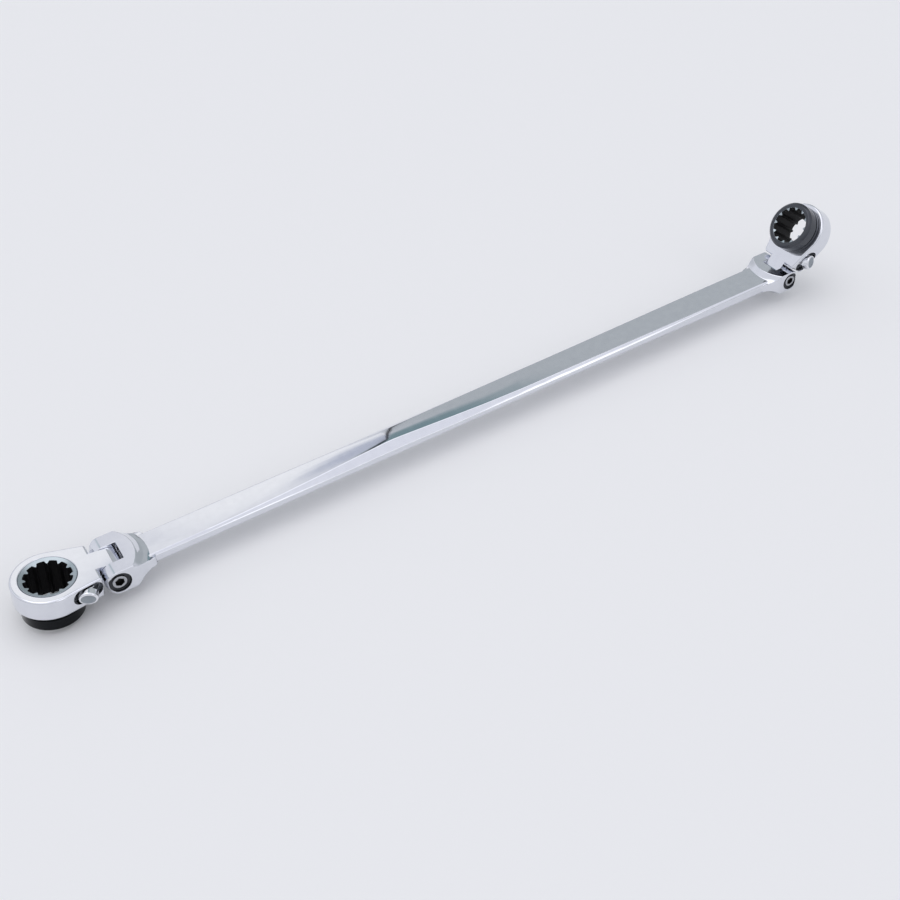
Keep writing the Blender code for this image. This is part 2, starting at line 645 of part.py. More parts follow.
def make_strap():
    """Crowned strap, lofted through eight-sided sections."""
    bm = bmesh.new()
    rings = []
    for x, half_w, half_t, slope_w, slope_d in STRAP:
        section = ((half_w, half_t - slope_d), (half_w - slope_w, half_t),
                   (slope_w - half_w, half_t), (-half_w, half_t - slope_d),
                   (-half_w, slope_d - half_t), (slope_w - half_w, -half_t),
                   (half_w - slope_w, -half_t), (half_w, slope_d - half_t))
        rings.append([bm.verts.new((x * MM, y * MM, z * MM)) for y, z in section])
    for first, second in zip(rings, rings[1:]):
        for i in range(len(first)):
            j = (i + 1) % len(first)
            bm.faces.new((first[i], first[j], second[j], second[i]))
    bm.faces.new(rings[0])
    bm.faces.new(rings[-1])
    mesh = bpy.data.meshes.new("handle")
    bm.to_mesh(mesh)
    bm.free()
    finish_mesh(mesh)
    return link("handle", mesh)


def fork_cutters(prefix):
    slot_outline = [(-SLOT_BACK, -TONGUE_HALF - GAP), (SLOT_FRONT, -TONGUE_HALF - GAP),
                    (SLOT_FRONT, TONGUE_HALF + GAP), (-SLOT_BACK, TONGUE_HALF + GAP)]
    slot = plate(prefix + "slot", slot_outline, -THROUGH, THROUGH, cutter=True)
    seat = CLEVIS_HALF_W - PIN_RECESS
    hole = along_y(turned(prefix + "pin_hole", [
        (0.0, -THROUGH), (EAR_RECESS_R, -THROUGH), (EAR_RECESS_R, -seat), (PIN_R + GAP, -seat),
        (PIN_R + GAP, seat), (EAR_RECESS_R, seat), (EAR_RECESS_R, THROUGH), (0.0, THROUGH)], 40,
        cutter=True))
    ball_bore = along_x(rod(prefix + "ball_bore", BALL_R + FIT, -BALL_BORE_END, -BALL_BORE_START, sides=20,
                            cutter=True))
    return [slot, hole, ball_bore]


def make_handle(ends):
    handle = make_strap()
    tools = []
    for prefix, place, scale in ends:
        clevis = make_clevis(prefix)
        clevis.data.transform(place @ Matrix.Scale(scale, 4))
        tools.append(clevis)
    join(handle, tools, "UNION")
    cutters = []
    for prefix, place, scale in ends:
        for cutter in fork_cutters(prefix):
            cutter.data.transform(place @ Matrix.Scale(scale, 4))
            cutters.append(cutter)
    join(handle, cutters, "DIFFERENCE")
    return handle


def make_fork_pieces(prefix, fork, scale):
    """Pieces that stay in the handle's fork: the pivot screw and the sprung ball."""
    spring = make_coil(prefix + "flex_spring", FLEX_SPRING_R, FLEX_SPRING_WIRE, FLEX_SPRING_FROM,
                       BALL_BORE_END - GAP, FLEX_SPRING_TURNS)
    turn(spring, Matrix.Rotation(math.pi, 4, "Z"))
    for piece, material in ((make_pivot_screw(prefix), HARDENED), (make_flex_ball(prefix), HARDENED),
                            (spring, SPRING_STEEL)):
        finish(piece, material, fork, scale)


def make_empty(name, parent, location, turn_y):
    empty = bpy.data.objects.new(name, None)
    partsCollection.objects.link(empty)
    empty.parent = parent
    empty.location = location
    empty.rotation_euler = (0.0, turn_y, 0.0)
    return empty


def build():
    wrench = make_empty("wrench_axis", None, PIVOT_LINE, 0.0)
    half = PIVOT_SPACING / 2
    near_place = Matrix.Translation((-half, 0.0, 0.0)) @ Matrix.Rotation(math.pi, 4, "Y")
    far_place = Matrix.Translation((half, 0.0, 0.0))
    handle = make_handle((("near_", near_place, NEAR_SCALE), ("far_", far_place, FAR_SCALE)))
    finish(handle, CHROME, wrench, 1.0)

    near_fork = make_empty("near_fork", wrench, (-half, 0.0, 0.0), math.pi)
    far_fork = make_empty("far_fork", wrench, (half, 0.0, 0.0), 0.0)
    make_fork_pieces("near_", near_fork, NEAR_SCALE)
    make_fork_pieces("far_", far_fork, FAR_SCALE)

    near_pivot = make_empty("near_pivot", wrench, (-half, 0.0, 0.0), math.pi + NEAR_TILT)
    far_pivot = make_empty("far_pivot", wrench, (half, 0.0, 0.0), -FAR_TILT)
    make_head("near_", near_pivot, NEAR_SCALE)
    make_head("far_", far_pivot, FAR_SCALE)


build()
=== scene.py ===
import bpy
import bmesh
import json
import math
from mathutils import Matrix, Vector


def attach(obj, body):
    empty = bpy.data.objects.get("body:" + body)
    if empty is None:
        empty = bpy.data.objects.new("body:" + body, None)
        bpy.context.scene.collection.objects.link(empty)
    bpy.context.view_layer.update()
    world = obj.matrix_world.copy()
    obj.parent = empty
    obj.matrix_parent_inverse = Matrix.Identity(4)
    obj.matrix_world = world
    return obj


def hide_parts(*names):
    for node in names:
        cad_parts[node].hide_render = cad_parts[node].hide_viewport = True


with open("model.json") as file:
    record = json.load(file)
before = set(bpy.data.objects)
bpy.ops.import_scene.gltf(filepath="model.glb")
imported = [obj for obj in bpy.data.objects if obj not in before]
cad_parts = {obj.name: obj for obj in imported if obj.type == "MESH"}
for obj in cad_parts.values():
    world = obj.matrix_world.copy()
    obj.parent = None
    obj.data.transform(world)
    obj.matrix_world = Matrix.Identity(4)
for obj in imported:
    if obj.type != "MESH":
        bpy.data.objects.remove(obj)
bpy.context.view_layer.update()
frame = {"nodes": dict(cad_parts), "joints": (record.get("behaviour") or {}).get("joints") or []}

mm = 0.001
ends = ("near", "far")
joints = {joint["name"]: joint for joint in frame["joints"]}


# places: each head has its own frame at its pivot, +X to the ring and +Z to the collar side,
# and each fork has one with +X away from the strap; a place also turns mm into metres

def pivotAndRing(end):
    return Vector(joints[end + "_flex"]["pos_m"]), Vector(joints[end + "_gear_spin"]["pos_m"])


def headPlace(end):
    pivot, ring = pivotAndRing(end)
    up = Vector(joints[end + "_gear_spin"]["axis"]).normalized()
    along = (ring - pivot).normalized()
    turn = Matrix((along, up.cross(along), up)).transposed().to_4x4()
    size = (ring - pivot).length / headSizes["ringAt"]
    return Matrix.Translation(pivot) @ turn @ Matrix.Scale(size, 4)


def forkPlace(end):
    pivot, ring = pivotAndRing(end)
    turn = Matrix.Rotation(math.pi if end == "near" else 0.0, 4, "Y")
    size = (ring - pivot).length / headSizes["ringAt"]
    return Matrix.Translation(pivot) @ turn @ Matrix.Scale(size, 4)


# mesh helpers, all in mm before a piece is placed

meshSizes = {
    "weld": 0.002,         # joins the ends of an outline
    "patternWeld": 0.01,   # joins repeated teeth and lobes
    "cutWeld": 0.03,       # clears the slivers that cuts leave
    "flat": 0.6,           # faces that turn less than this are joined, degrees
    "through": 20.0,       # reach of a cut that goes right through
}
quarterTurn = math.pi / 2


def drawOutline(bm, start, strokes):
    # (x, y) draws a straight line to there, (cx, cy, degrees, steps) an arc about (cx, cy)
    first = bm.verts.new((start[0], start[1], 0.0))
    last = first
    for stroke in strokes:
        if len(stroke) == 2:
            grown = bmesh.ops.extrude_vert_indiv(bm, verts=[last])
            last = grown["verts"][0]
            last.co = (stroke[0], stroke[1], 0.0)
        else:
            cx, cy, degrees, steps = stroke
            grown = bmesh.ops.spin(bm, geom=[last], cent=(cx, cy, 0.0), axis=(0, 0, 1),
                                   angle=math.radians(degrees), steps=steps, use_duplicate=False)
            last = [v for v in grown["geom_last"] if isinstance(v, bmesh.types.BMVert)][0]
    bmesh.ops.remove_doubles(bm, verts=bm.verts, dist=meshSizes["weld"])


def fillOutline(bm, low, high):
    bmesh.ops.contextual_create(bm, geom=list(bm.edges))
    bmesh.ops.translate(bm, verts=bm.verts, vec=(0, 0, low))
    grown = bmesh.ops.extrude_face_region(bm, geom=list(bm.faces))
    risen = [v for v in grown["geom"] if isinstance(v, bmesh.types.BMVert)]
    bmesh.ops.translate(bm, verts=risen, vec=(0, 0, high - low))
    bmesh.ops.recalc_face_normals(bm, faces=bm.faces)


def slab(start, strokes, low, high):
    bm = bmesh.new()
    drawOutline(bm, start, strokes)
    fillOutline(bm, low, high)
    return bm


def lathe(profile, steps):
    # (radius, z) points and (cr, cz, degrees, steps) arcs, spun about Z
    bm = bmesh.new()
    drawOutline(bm, profile[0], profile[1:])
    bmesh.ops.rotate(bm, verts=bm.verts, cent=(0, 0, 0), matrix=Matrix.Rotation(quarterTurn, 3, "X"))
    bmesh.ops.spin(bm, geom=list(bm.verts) + list(bm.edges), cent=(0, 0, 0), axis=(0, 0, 1),
                   angle=math.tau, steps=steps, use_merge=True, use_duplicate=False)
    bmesh.ops.remove_doubles(bm, verts=bm.verts, dist=meshSizes["weld"])
    bmesh.ops.recalc_face_normals(bm, faces=bm.faces)
    return bm


def turnBm(bm, matrix):
    bmesh.ops.transform(bm, matrix=matrix, verts=bm.verts)
    return bm


def bevelEdges(bm, edges, width, segments):
    bmesh.ops.bevel(bm, geom=edges, offset=width, offset_type="OFFSET", affect="EDGES",
                    segments=segments, profile=0.5, material=-1, clamp_overlap=True)


def toTool(bm, name):
    mesh = bpy.data.meshes.new(name)
    bm.to_mesh(mesh)
    bm.free()
    tool = bpy.data.objects.new(name, mesh)
    bpy.context.scene.collection.objects.link(tool)
    return tool


def combine(base, tools):
    # tools are (object, "UNION" | "DIFFERENCE" | "INTERSECT"); they are used up
    for tool, operation in tools:
        step = base.modifiers.new(operation, "BOOLEAN")
        step.operation = operation
        step.solver = "EXACT"
        step.object = tool
        if operation == "DIFFERENCE":
            step.material_mode = "TRANSFER"
    bpy.context.view_layer.update()
    evaluated = base.evaluated_get(bpy.context.evaluated_depsgraph_get())
    mesh = bpy.data.meshes.new_from_object(evaluated)
    base.modifiers.clear()
    base.data = mesh
    for tool, operation in tools:
        bpy.data.objects.remove(tool, do_unlink=True)
    return base


def softenEdges(base, width, segments, degrees, acrossFinishes=True):
    # welds what the cuts left, then rounds every edge that is sharper than degrees;
    # acrossFinishes=False leaves the edges between two finishes sharp
    bm = bmesh.new()
    bm.from_mesh(base.data)
    bmesh.ops.remove_doubles(bm, verts=bm.verts, dist=meshSizes["cutWeld"])
    bmesh.ops.dissolve_degenerate(bm, edges=bm.edges, dist=meshSizes["cutWeld"])
    bmesh.ops.dissolve_limit(bm, angle_limit=math.radians(meshSizes["flat"]), verts=bm.verts,
                             edges=bm.edges, use_dissolve_boundaries=False, delimit={"MATERIAL"})
    sharp = []
    for edge in bm.edges:
        if len(edge.link_faces) == 2 and edge.calc_face_angle() > math.radians(degrees):
            one, other = edge.link_faces
            if acrossFinishes or one.material_index == other.material_index:
                sharp.append(edge)
    bmesh.ops.bevel(bm, geom=sharp, offset=width, offset_type="OFFSET", affect="EDGES",
                    segments=segments, profile=0.5, material=-1, clamp_overlap=False,
                    miter_outer="ARC")
    bm.to_mesh(base.data)
    bm.free()
    return base


def finishPiece(piece, place, body, replaced, smooth=32.0):
    piece.data.transform(place)
    piece.data.shade_smooth()
    piece.data.set_sharp_from_angle(angle=math.radians(smooth))
    shading = piece.modifiers.new("faceWeights", "WEIGHTED_NORMAL")
    shading.keep_sharp = True
    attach(piece, body)
    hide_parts(replaced)
    return piece


# camera

cameraView = {
    "position": (-0.23785, -0.43451, 0.43647),
    "right": (0.856012, -0.513008, -0.063765),
    "up": (0.386667, 0.553511, 0.737641),
    "lens": 51.80,
    "sensor": 36.0,
    "nearest": 0.01,
}
camera = bpy.data.objects.new("camera", bpy.data.cameras.new("camera"))
bpy.context.scene.collection.objects.link(camera)
right = Vector(cameraView["right"]).normalized()
up = Vector(cameraView["up"])
up = (up - right * up.dot(right)).normalized()
camera.matrix_world = Matrix.Translation(cameraView["position"]) @ Matrix(
    (right, up, right.cross(up))).transposed().to_4x4()
camera.data.lens = cameraView["lens"]
camera.data.sensor_width = cameraView["sensor"]
camera.data.clip_start = cameraView["nearest"]
bpy.context.scene.camera = camera
print("camera placed")


# studio: the sky is a few soft panels of light, written as directions from the bench

skyColour = {"low": (0.58, 0.60, 0.64), "high": (0.80, 0.81, 0.86), "lowEnd": -0.1, "highEnd": 0.7,
             "strength": 1.0}
skyPanels = [
    # azimuth from +Y towards +X, elevation, inner and outer radius in degrees, colour
    ("backLight", 15.6, 41.0, 2.5, 7.0, (1.05, 1.05, 1.055)),
    ("rightGrey", 52.0, 20.0, 26.0, 34.0, (0.50, 0.53, 0.55)),
    ("rightGreyLow", 60.0, -6.0, 26.0, 34.0, (0.44, 0.47, 0.49)),
    ("tealCard", 30.0, 46.5, 3.5, 7.5, (0.22, 0.31, 0.335)),
    ("blueEdge", 21.0, 44.0, 1.0, 4.0, (0.56, 0.59, 0.69)),
    ("leftCard", 340.0, 47.0, 5.0, 12.0, (0.42, 0.52, 0.55)),
    ("topLight", 0.0, 88.0, 20.0, 40.0, (1.5, 1.5, 1.56)),
    ("frontLight", 135.0, 60.0, 14.0, 32.0, (0.89, 0.90, 0.97)),
    ("frontLow", 158.0, 32.0, 8.0, 16.0, (1.5, 1.5, 1.55)),
    ("leftLight", 313.0, 30.0, 18.0, 34.0, (0.82, 0.835, 0.89)),
]
# the upright dark gap between the back and right panels
skyStripe = {"azimuth": 23.6, "elevation": 42.0, "reach": 16.0, "fade": 5.0, "halfWidth": 0.9,
             "core": 0.4, "rim": 1.1, "colour": (0.02, 0.02, 0.024)}


def direction(azimuth, elevation):
    a, e = math.radians(azimuth), math.radians(elevation)
    return (math.sin(a) * math.cos(e), math.cos(a) * math.cos(e), math.sin(e))


world = bpy.data.worlds.new("studio")
bpy.context.scene.world = world
world.use_nodes = True
sky = world.node_tree
skyBackground = sky.nodes["Background"]
skyCoords = sky.nodes.new("ShaderNodeTexCoord")
height = sky.nodes.new("ShaderNodeSeparateXYZ")
sky.links.new(skyCoords.outputs["Generated"], height.inputs[0])
blend = sky.nodes.new("ShaderNodeMapRange")
blend.interpolation_type = "SMOOTHSTEP"
blend.inputs["From Min"].default_value = skyColour["lowEnd"]
blend.inputs["From Max"].default_value = skyColour["highEnd"]
sky.links.new(height.outputs["Z"], blend.inputs["Value"])
base = sky.nodes.new("ShaderNodeMix")
base.data_type = "RGBA"
base.inputs["A"].default_value = (*skyColour["low"], 1)
base.inputs["B"].default_value = (*skyColour["high"], 1)
sky.links.new(blend.outputs["Result"], base.inputs["Factor"])
colourSoFar = base.outputs["Result"]


def skyMask(toward, low, high, mirrored=False):
    # 0 where the direction's part along toward is low, 1 where it is high
    dot = sky.nodes.new("ShaderNodeVectorMath")
    dot.operation = "DOT_PRODUCT"
    dot.inputs[1].default_value = toward
    sky.links.new(skyCoords.outputs["Generated"], dot.inputs[0])
    amount = dot.outputs["Value"]
    if mirrored:
        size = sky.nodes.new("ShaderNodeMath")
        size.operation = "ABSOLUTE"
        sky.links.new(amount, size.inputs[0])
        amount = size.outputs[0]
    fade = sky.nodes.new("ShaderNodeMapRange")
    fade.interpolation_type = "SMOOTHSTEP"
    fade.inputs["From Min"].default_value = low
    fade.inputs["From Max"].default_value = high
    sky.links.new(amount, fade.inputs["Value"])
    return fade.outputs["Result"]


def skyLayer(below, mask, colour):
    layer = sky.nodes.new("ShaderNodeMix")
    layer.data_type = "RGBA"
    layer.inputs["B"].default_value = (*colour, 1)
    sky.links.new(mask, layer.inputs["Factor"])
    sky.links.new(below, layer.inputs["A"])
    return layer.outputs["Result"]


def cosine(degrees):
    return math.cos(math.radians(degrees))


for panelName, azimuth, elevation, inner, outer, colour in skyPanels:
    mask = skyMask(direction(azimuth, elevation), cosine(outer), cosine(inner))
    colourSoFar = skyLayer(colourSoFar, mask, colour)
width = math.sin(math.radians(skyStripe["halfWidth"]))
across = skyMask(direction(skyStripe["azimuth"] + 90.0, 0.0), width * skyStripe["rim"],
                 width * skyStripe["core"], True)
along = skyMask(direction(skyStripe["azimuth"], skyStripe["elevation"]), cosine(skyStripe["reach"]),
                cosine(skyStripe["reach"] - skyStripe["fade"]))
both = sky.nodes.new("ShaderNodeMath")
both.operation = "MULTIPLY"
sky.links.new(across, both.inputs[0])
sky.links.new(along, both.inputs[1])
colourSoFar = skyLayer(colourSoFar, both.outputs[0], skyStripe["colour"])
sky.links.new(colourSoFar, skyBackground.inputs["Color"])
skyBackground.inputs["Strength"].default_value = skyColour["strength"]
bpy.context.scene.view_settings.view_transform = "Standard"

floorLook = {"side": 8.0, "colour": (0.86, 0.86, 0.86), "roughness": 0.75}
bm = bmesh.new()
bmesh.ops.create_grid(bm, x_segments=2, y_segments=2, size=floorLook["side"] / 2)
floor = toTool(bm, "floor")
floorPaint = bpy.data.materials.new("floorPaper")
floorPaint.use_nodes = True
floorShader = floorPaint.node_tree.nodes["Principled BSDF"]
floorShader.inputs["Base Color"].default_value = (*floorLook["colour"], 1)
floorShader.inputs["Roughness"].default_value = floorLook["roughness"]
floor.data.materials.append(floorPaint)
print("studio ready")


# finishes: two effects shared by the metals, then one material for each finish

def newGroup(name, inputs, outputs):
    tree = bpy.data.node_groups.new(name, "ShaderNodeTree")
    for label, kind, value in inputs:
        socket = tree.interface.new_socket(label, in_out="INPUT", socket_type=kind)
        if value is not None:
            socket.default_value = value
    for label, kind in outputs:
        tree.interface.new_socket(label, in_out="OUTPUT", socket_type=kind)
    return tree, tree.nodes.new("NodeGroupInput").outputs, tree.nodes.new("NodeGroupOutput").inputs


def mathStep(tree, operation, *values):
    node = tree.nodes.new("ShaderNodeMath")
    node.operation = operation
    for socket, value in zip(node.inputs, values):
        if isinstance(value, bpy.types.NodeSocket):
            tree.links.new(value, socket)
        else:
            socket.default_value = value
    return node.outputs[0]


def noiseStep(tree, vector, scale, detail, dimensions="3D"):
    node = tree.nodes.new("ShaderNodeTexNoise")
    node.noise_dimensions = dimensions
    node.inputs["Scale"].default_value = scale
    node.inputs["Detail"].default_value = detail
    tree.links.new(vector, node.inputs["W" if dimensions == "1D" else "Vector"])
    return node.outputs[0]


def bumpStep(tree, heightSocket, normalSocket=None):
    node = tree.nodes.new("ShaderNodeBump")
    node.inputs["Strength"].default_value = 1.0
    node.inputs["Distance"].default_value = 1.0
    tree.links.new(heightSocket, node.inputs["Height"])
    if normalSocket is not None:
        tree.links.new(normalSocket, node.inputs["Normal"])
    return node.outputs["Normal"]


plateScales = {"waves": 55.0, "grain": 2600.0, "cloud": 240.0}   # pattern sizes, per metre
turnedTilt = 0.83    # shifts the rings with the height, so that a wall gets lines as well as a face


def makePolishedPlate():
    # long waves left by polishing and the fine grain of the plate; heights are in metres
    tree, given, out = newGroup("polishedPlate", [
        ("Vector", "NodeSocketVector", None), ("Roughness", "NodeSocketFloat", 0.15),
        ("Haze", "NodeSocketFloat", 0.05), ("Wave Height", "NodeSocketFloat", 0.00002),
        ("Grain Height", "NodeSocketFloat", 0.0000004)],
        [("Roughness", "NodeSocketFloat"), ("Bloom", "NodeSocketFloat"), ("Normal", "NodeSocketVector")])
    waves = noiseStep(tree, given["Vector"], plateScales["waves"], 2.0)
    grain = noiseStep(tree, given["Vector"], plateScales["grain"], 3.0)
    cloud = noiseStep(tree, given["Vector"], plateScales["cloud"], 4.0)
    patchy = mathStep(tree, "ADD", mathStep(tree, "SUBTRACT", cloud, 0.5),
                      mathStep(tree, "MULTIPLY", mathStep(tree, "SUBTRACT", grain, 0.5), 0.5))
    rough = mathStep(tree, "ADD", given["Roughness"],
                     mathStep(tree, "MULTIPLY", patchy, given["Haze"]))
    height = mathStep(tree, "ADD", mathStep(tree, "MULTIPLY", waves, given["Wave Height"]),
                      mathStep(tree, "MULTIPLY", grain, given["Grain Height"]))
    bloom = mathStep(tree, "SMOOTH_MIN", 1.0, mathStep(tree, "MULTIPLY", cloud, 1.1), 0.1)
    tree.links.new(rough, out["Roughness"])
    tree.links.new(bloom, out["Bloom"])
    tree.links.new(bumpStep(tree, height), out["Normal"])
    return tree


def makeTurnedLines():
    # rings left by a lathe, about the Z axis of the vector
    tree, given, out = newGroup("turnedLines", [
        ("Vector", "NodeSocketVector", None), ("Pitch", "NodeSocketFloat", 0.0002),
        ("Depth", "NodeSocketFloat", 0.000002), ("Normal", "NodeSocketVector", None)],
        [("Lines", "NodeSocketFloat"), ("Normal", "NodeSocketVector")])
    flat = tree.nodes.new("ShaderNodeVectorMath")
    flat.operation = "MULTIPLY"
    flat.inputs[1].default_value = (1.0, 1.0, 0.0)
    tree.links.new(given["Vector"], flat.inputs[0])
    length = tree.nodes.new("ShaderNodeVectorMath")
    length.operation = "LENGTH"
    tree.links.new(flat.outputs["Vector"], length.inputs[0])
    split = tree.nodes.new("ShaderNodeSeparateXYZ")
    tree.links.new(given["Vector"], split.inputs[0])
    along = mathStep(tree, "ADD", length.outputs["Value"],
                     mathStep(tree, "MULTIPLY", split.outputs["Z"], turnedTilt))
    lines = noiseStep(tree, mathStep(tree, "DIVIDE", along, given["Pitch"]), 1.0, 2.0, "1D")
    tree.links.new(lines, out["Lines"])
    tree.links.new(bumpStep(tree, mathStep(tree, "MULTIPLY", lines, given["Depth"]), given["Normal"]),
                   out["Normal"])
    return tree


polishedPlate = makePolishedPlate()
turnedLines = makeTurnedLines()


def newFinish(name, look, axis=None):
    # look: two colours, roughness, haze, wave and grain height, and the pitch and depth of turned lines
    material = bpy.data.materials.new(name)
    material.use_nodes = True
    tree = material.node_tree
    shader = tree.nodes["Principled BSDF"]
    shader.inputs["Metallic"].default_value = look.get("metallic", 1.0)
    shader.inputs["Specular IOR Level"].default_value = look.get("shine", 0.5)
    vector = tree.nodes.new("ShaderNodeTexCoord").outputs["Object"]
    if axis is not None:
        centring = tree.nodes.new("ShaderNodeMapping")
        centring.vector_type = "TEXTURE"
        centring.inputs["Location"].default_value = axis.to_translation()
        centring.inputs["Rotation"].default_value = axis.to_euler()
        tree.links.new(vector, centring.inputs["Vector"])
        vector = centring.outputs["Vector"]
    plate = tree.nodes.new("ShaderNodeGroup")
    plate.node_tree = polishedPlate
    plate.inputs["Roughness"].default_value = look["roughness"]
    plate.inputs["Haze"].default_value = look["haze"]
    plate.inputs["Wave Height"].default_value = look["wave"]
    plate.inputs["Grain Height"].default_value = look["grain"]
    tree.links.new(vector, plate.inputs["Vector"])
    shade = plate.outputs["Bloom"]
    normal = plate.outputs["Normal"]
    if axis is not None:
        turned = tree.nodes.new("ShaderNodeGroup")
        turned.node_tree = turnedLines
        turned.inputs["Pitch"].default_value = look["pitch"]
        turned.inputs["Depth"].default_value = look["depth"]
        tree.links.new(vector, turned.inputs["Vector"])
        tree.links.new(normal, turned.inputs["Normal"])
        shade = turned.outputs["Lines"]
        normal = turned.outputs["Normal"]
    colour = tree.nodes.new("ShaderNodeMix")
    colour.data_type = "RGBA"
    colour.inputs["A"].default_value = (*look["colour"], 1.0)
    colour.inputs["B"].default_value = (*look["second"], 1.0)
    tree.links.new(shade, colour.inputs["Factor"])
    tree.links.new(colour.outputs["Result"], shader.inputs["Base Color"])
    tree.links.new(plate.outputs["Roughness"], shader.inputs["Roughness"])
    tree.links.new(normal, shader.inputs["Normal"])
    return material


finishLooks = {
    "satinChrome": {"colour": (0.70, 0.715, 0.765), "second": (0.78, 0.795, 0.84), "roughness": 0.075,
                    "haze": 0.04, "wave": 0.00002, "grain": 0.0000005},
    "leverChrome": {"colour": (0.76, 0.77, 0.81), "second": (0.84, 0.85, 0.88), "roughness": 0.11,
                    "haze": 0.06, "wave": 0.00001, "grain": 0.0000005},
    # painted reflection: the lever's oval end is a darker grey-teal copy of the chrome, standing in for
    # the dark surroundings it mirrors
    "padPaintedReflection": {"colour": (0.24, 0.27, 0.30), "second": (0.36, 0.39, 0.42), "roughness": 0.2,
                 "haze": 0.10, "wave": 0.00001, "grain": 0.000002},
    "flushNickel": {"colour": (0.34, 0.39, 0.42), "second": (0.50, 0.56, 0.59), "roughness": 0.24,
                    "haze": 0.10, "wave": 0.00001, "grain": 0.000001, "pitch": 0.00025,
                    "depth": 0.000004},
    "darkNickel": {"colour": (0.05, 0.053, 0.06), "second": (0.115, 0.122, 0.137), "roughness": 0.14,
                   "haze": 0.10, "wave": 0.00002, "grain": 0.000001, "pitch": 0.0003, "depth": 0.000004},
    # painted shade: the near collar is a much darker copy of the far collar's nickel, for the shadow
    # under the head that it sits in and reflects
    "collarPaintedShade": {"colour": (0.008, 0.0085, 0.009), "second": (0.026, 0.028, 0.031),
                    "roughness": 0.2, "haze": 0.10, "wave": 0.00002, "grain": 0.000001,
                    "pitch": 0.0003, "depth": 0.000004},
    # painted shade: the socket in the gear and the hexagon in the screw are black, for the shade deep
    # inside them
    "holePaintedShade": {"colour": (0.004, 0.004, 0.004), "second": (0.011, 0.011, 0.012), "roughness": 0.5,
                    "haze": 0.15, "wave": 0.00002, "grain": 0.000003, "metallic": 0.0, "shine": 0.15},
    # painted shade: the lever pocket and the drum well are a darker copy of the chrome, for the shade
    # that falls inside them
    "pocketPaintedShade": {"colour": (0.26, 0.27, 0.29), "second": (0.38, 0.39, 0.41), "roughness": 0.22,
                    "haze": 0.12, "wave": 0.00001, "grain": 0.000001},
    # painted shade: the ear recess and the pin hole walls are near black, for the shadow inside the
    # recess
    "recessPaintedShade": {"colour": (0.03, 0.031, 0.035), "second": (0.07, 0.073, 0.08), "roughness": 0.22,
                   "haze": 0.12, "wave": 0.00001, "grain": 0.000001},
    "screwSteel": {"colour": (0.33, 0.34, 0.36), "second": (0.52, 0.53, 0.56), "roughness": 0.22,
                   "haze": 0.10, "wave": 0.00001, "grain": 0.000001, "pitch": 0.0002, "depth": 0.000004},
    "springSteel": {"colour": (0.34, 0.34, 0.36), "second": (0.50, 0.50, 0.52), "roughness": 0.28,
                    "haze": 0.12, "wave": 0.00001, "grain": 0.000002},
    "oiledSteel": {"colour": (0.10, 0.10, 0.105), "second": (0.20, 0.20, 0.21), "roughness": 0.34,
                   "haze": 0.18, "wave": 0.00001, "grain": 0.000003},
}
plainFinishes = ("satinChrome", "leverChrome", "padPaintedReflection", "holePaintedShade", "pocketPaintedShade", "recessPaintedShade",
                 "springSteel", "oiledSteel")
finishes = {name: newFinish(name, finishLooks[name]) for name in plainFinishes}
cadFinishes = {
    "retaining_ring": "springSteel", "pawl_spring": "springSteel", "flex_spring": "springSteel",
    "pawl": "oiledSteel", "pawl_pin": "oiledSteel", "pawl_plunger": "oiledSteel",
    "flex_ball": "oiledSteel",
}
for end in ends:
    for piece, finishName in cadFinishes.items():
        for holder in frame["nodes"][end + "_" + piece].material_slots:
            holder.material = finishes[finishName]
print("finishes ready")


# head forging: ring, neck and tongue

headSizes = {
    "ringAt": 28.0,
    "ringRadius": 16.75,
    "half": 5.5,
    "shoulderAt": 7.2,
    "shoulderHalf": 12.4,
    "shoulderCorner": 1.4,
    "rim": 1.2,
    "tongueHalf": 5.6,
    "boreRadius": 13.6,
    "lipRadius": 12.9,
    "lipTop": -3.9,
    "boreChamfer": 0.12,
    "grooveRadius": 14.6,
    "grooveLow": 3.3,
    "grooveHigh": 4.7,
    "pinHole": 3.05,
    "pocketFrom": 7.9,
    "pocketTo": 22.6,
    "pocketDepth": 3.2,
    "pocketReach": 8.0,
    "pocketRound": 3.8,
    "pocketMiddle": -0.9,
    "cavityLow": -3.6,
    "cavityHigh": 2.4,
    "leverAngle": 38.0,      # the lever's axis, as an angle and a distance from the gear's
    "leverAt": 19.2,
    "leverWell": 2.1,
    "edge": 0.22,
}


def neckSlope():
    s = headSizes
    reach = s["ringAt"] - s["shoulderAt"]
    return -math.atan2(s["shoulderHalf"], reach) + math.asin(
        s["ringRadius"] / math.hypot(reach, s["shoulderHalf"]))


def neckSide(x):
    return headSizes["shoulderHalf"] + (x - headSizes["shoulderAt"]) * math.tan(neckSlope())


def leverCentre():
    s, a = headSizes, math.radians(headSizes["leverAngle"])
    return (s["ringAt"] - s["leverAt"] * math.cos(a), -s["leverAt"] * math.sin(a))


